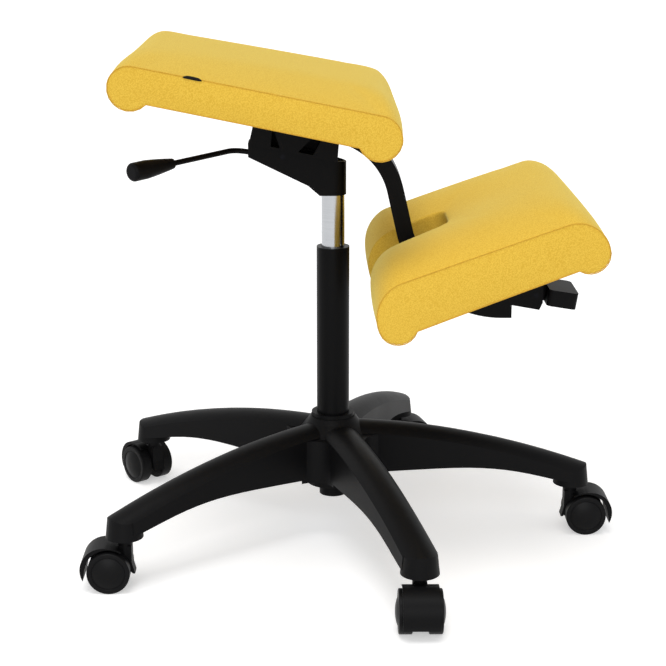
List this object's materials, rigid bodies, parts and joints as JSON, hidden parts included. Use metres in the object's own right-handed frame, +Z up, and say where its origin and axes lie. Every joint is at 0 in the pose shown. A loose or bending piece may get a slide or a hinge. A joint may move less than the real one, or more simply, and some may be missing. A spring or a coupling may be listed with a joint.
{
  "type": "kneeling office chair",
  "caption": "Kneeling office chair: tilted seat pad and sliding knee rest on a bent arm, gas column and star base with twin-wheel castors.",
  "frame": {"origin": "on the floor under the column's axis", "axes": "+Z up, the sitter faces -Y, the sitter's left hand is +X"},
  "size_m": [0.6559, 0.6447, 0.6164],
  "materials": {
    "fabric_yellow": "fine woven upholstery",
    "tag_black": "plain woven tape",
    "nylon_black": "satin moulded nylon",
    "tread_black": "satin moulded nylon wheel",
    "grip_black": "satin moulded plastic",
    "bush_black": "acetal",
    "paint_black": "satin black powder coat",
    "chrome": "polished chrome",
    "steel": "plain steel",
    "plywood": "bare plywood"
  },
  "bodies": {
    "base": {"star_base": "nylon_black", "hub_ring": "nylon_black", "column_tube": "paint_black", "column_bush": "bush_black", "castor_stems": "steel", "castor_grip_rings": "steel", "thrust_race_lower": "steel"},
    "piston": {"piston_rod": "steel", "piston_head": "bush_black", "rod_clip": "steel", "thrust_balls": "steel", "thrust_race_upper": "steel"},
    "seat": {"gas_cylinder": "chrome", "rod_guide": "bush_black", "mechanism_housing": "paint_black", "lever_pin": "steel", "seat_bracket": "paint_black", "carrier_arm": "paint_black", "arm_end_caps": "grip_black", "arm_bolts": "steel", "arm_nuts": "steel", "seat_board": "plywood", "seat_cushion": "fabric_yellow", "seat_tag": "tag_black", "seat_screws": "steel", "knee_bracket": "paint_black", "paddle_pin": "steel"},
    "valve": {"release_pin": "steel"},
    "height_lever": {"lever_rocker": "paint_black", "lever_rod": "paint_black", "lever_grip": "grip_black"},
    "knee_rest": {"knee_runner": "paint_black", "knee_board": "plywood", "knee_cushion": "fabric_yellow", "knee_screws": "steel"},
    "clamp": {"clamp_pin": "steel"},
    "paddle": {"knee_paddle": "grip_black"},
    "castor_1": {"castor_1_hood": "nylon_black", "castor_1_axle": "steel"},
    "castor_1_wheel_left": {"castor_1_wheel_left": "tread_black"},
    "castor_1_wheel_right": {"castor_1_wheel_right": "tread_black"},
    "castor_2": {"castor_2_hood": "nylon_black", "castor_2_axle": "steel"},
    "castor_2_wheel_left": {"castor_2_wheel_left": "tread_black"},
    "castor_2_wheel_right": {"castor_2_wheel_right": "tread_black"},
    "castor_3": {"castor_3_hood": "nylon_black", "castor_3_axle": "steel"},
    "castor_3_wheel_left": {"castor_3_wheel_left": "tread_black"},
    "castor_3_wheel_right": {"castor_3_wheel_right": "tread_black"},
    "castor_4": {"castor_4_hood": "nylon_black", "castor_4_axle": "steel"},
    "castor_4_wheel_left": {"castor_4_wheel_left": "tread_black"},
    "castor_4_wheel_right": {"castor_4_wheel_right": "tread_black"},
    "castor_5": {"castor_5_hood": "nylon_black", "castor_5_axle": "steel"},
    "castor_5_wheel_left": {"castor_5_wheel_left": "tread_black"},
    "castor_5_wheel_right": {"castor_5_wheel_right": "tread_black"}
  },
  "joints": [
    {"name": "column_swivel", "type": "hinge", "parent": "base", "child": "piston", "pos_m": [0, 0, 0], "axis": [0, 0, 1], "continuous": true},
    {"name": "gas_lift", "type": "slide", "parent": "piston", "child": "seat", "axis": [0, 0, 1], "range_m": [-0.055, 0.085]},
    {"name": "height_lever", "type": "hinge", "parent": "seat", "child": "height_lever", "pos_m": [0, 0.06, 0.4787], "axis": [1, 0, 0], "range_deg": [0, 3.5], "stiffness_Nm_per_rad": 2, "springref_deg": -2.86},
    {"name": "valve_press", "type": "slide", "parent": "seat", "child": "valve", "axis": [0, 0, -1], "range_m": [0, 0.00377]},
    {"name": "knee_slide", "type": "slide", "parent": "seat", "child": "knee_rest", "axis": [0, -0.9336, 0.3584], "range_m": [-0.02, 0.05]},
    {"name": "knee_paddle", "type": "hinge", "parent": "seat", "child": "paddle", "pos_m": [0, -0.24596, 0.31105], "axis": [-1, 0, 0], "range_deg": [0, 12], "stiffness_Nm_per_rad": 2, "springref_deg": -2.86},
    {"name": "clamp_release", "type": "slide", "parent": "seat", "child": "clamp", "axis": [0, -0.3584, -0.9336], "range_m": [0, 0.00128]},
    {"name": "castor_1_swivel", "type": "hinge", "parent": "base", "child": "castor_1", "pos_m": [0, -0.3, 0], "axis": [0, 0, 1], "continuous": true},
    {"name": "castor_1_roll_left", "type": "hinge", "parent": "castor_1", "child": "castor_1_wheel_left", "pos_m": [0, -0.3178, 0.025], "axis": [1, 0, 0], "continuous": true},
    {"name": "castor_1_roll_right", "type": "hinge", "parent": "castor_1", "child": "castor_1_wheel_right", "pos_m": [0, -0.3178, 0.025], "axis": [1, 0, 0], "continuous": true},
    {"name": "castor_2_swivel", "type": "hinge", "parent": "base", "child": "castor_2", "pos_m": [-0.28532, -0.0927, 0], "axis": [0, 0, 1], "continuous": true},
    {"name": "castor_2_roll_left", "type": "hinge", "parent": "castor_2", "child": "castor_2_wheel_left", "pos_m": [-0.30312, -0.0927, 0.025], "axis": [0, -1, 0], "continuous": true},
    {"name": "castor_2_roll_right", "type": "hinge", "parent": "castor_2", "child": "castor_2_wheel_right", "pos_m": [-0.30312, -0.0927, 0.025], "axis": [0, -1, 0], "continuous": true},
    {"name": "castor_3_swivel", "type": "hinge", "parent": "base", "child": "castor_3", "pos_m": [-0.17634, 0.24271, 0], "axis": [0, 0, 1], "continuous": true},
    {"name": "castor_3_roll_left", "type": "hinge", "parent": "castor_3", "child": "castor_3_wheel_left", "pos_m": [-0.17634, 0.2605, 0.025], "axis": [-1, 0, 0], "continuous": true},
    {"name": "castor_3_roll_right", "type": "hinge", "parent": "castor_3", "child": "castor_3_wheel_right", "pos_m": [-0.17634, 0.2605, 0.025], "axis": [-1, 0, 0], "continuous": true},
    {"name": "castor_4_swivel", "type": "hinge", "parent": "base", "child": "castor_4", "pos_m": [0.17634, 0.24271, 0], "axis": [0, 0, 1], "continuous": true},
    {"name": "castor_4_roll_left", "type": "hinge", "parent": "castor_4", "child": "castor_4_wheel_left", "pos_m": [0.18997, 0.25415, 0.025], "axis": [-0.6428, 0.766, 0], "continuous": true},
    {"name": "castor_4_roll_right", "type": "hinge", "parent": "castor_4", "child": "castor_4_wheel_right", "pos_m": [0.18997, 0.25415, 0.025], "axis": [-0.6428, 0.766, 0], "continuous": true},
    {"name": "castor_5_swivel", "type": "hinge", "parent": "base", "child": "castor_5", "pos_m": [0.28532, -0.0927, 0], "axis": [0, 0, 1], "continuous": true},
    {"name": "castor_5_roll_left", "type": "hinge", "parent": "castor_5", "child": "castor_5_wheel_left", "pos_m": [0.28992, -0.1099, 0.025], "axis": [0.9659, 0.2588, 0], "continuous": true},
    {"name": "castor_5_roll_right", "type": "hinge", "parent": "castor_5", "child": "castor_5_wheel_right", "pos_m": [0.28992, -0.1099, 0.025], "axis": [0.9659, 0.2588, 0], "continuous": true}
  ],
  "couplings": [
    {"joint": "valve_press", "follows": "height_lever", "m_per_rad": 0.06},
    {"joint": "clamp_release", "follows": "knee_paddle", "m_per_rad": 0.005657}
  ]
}
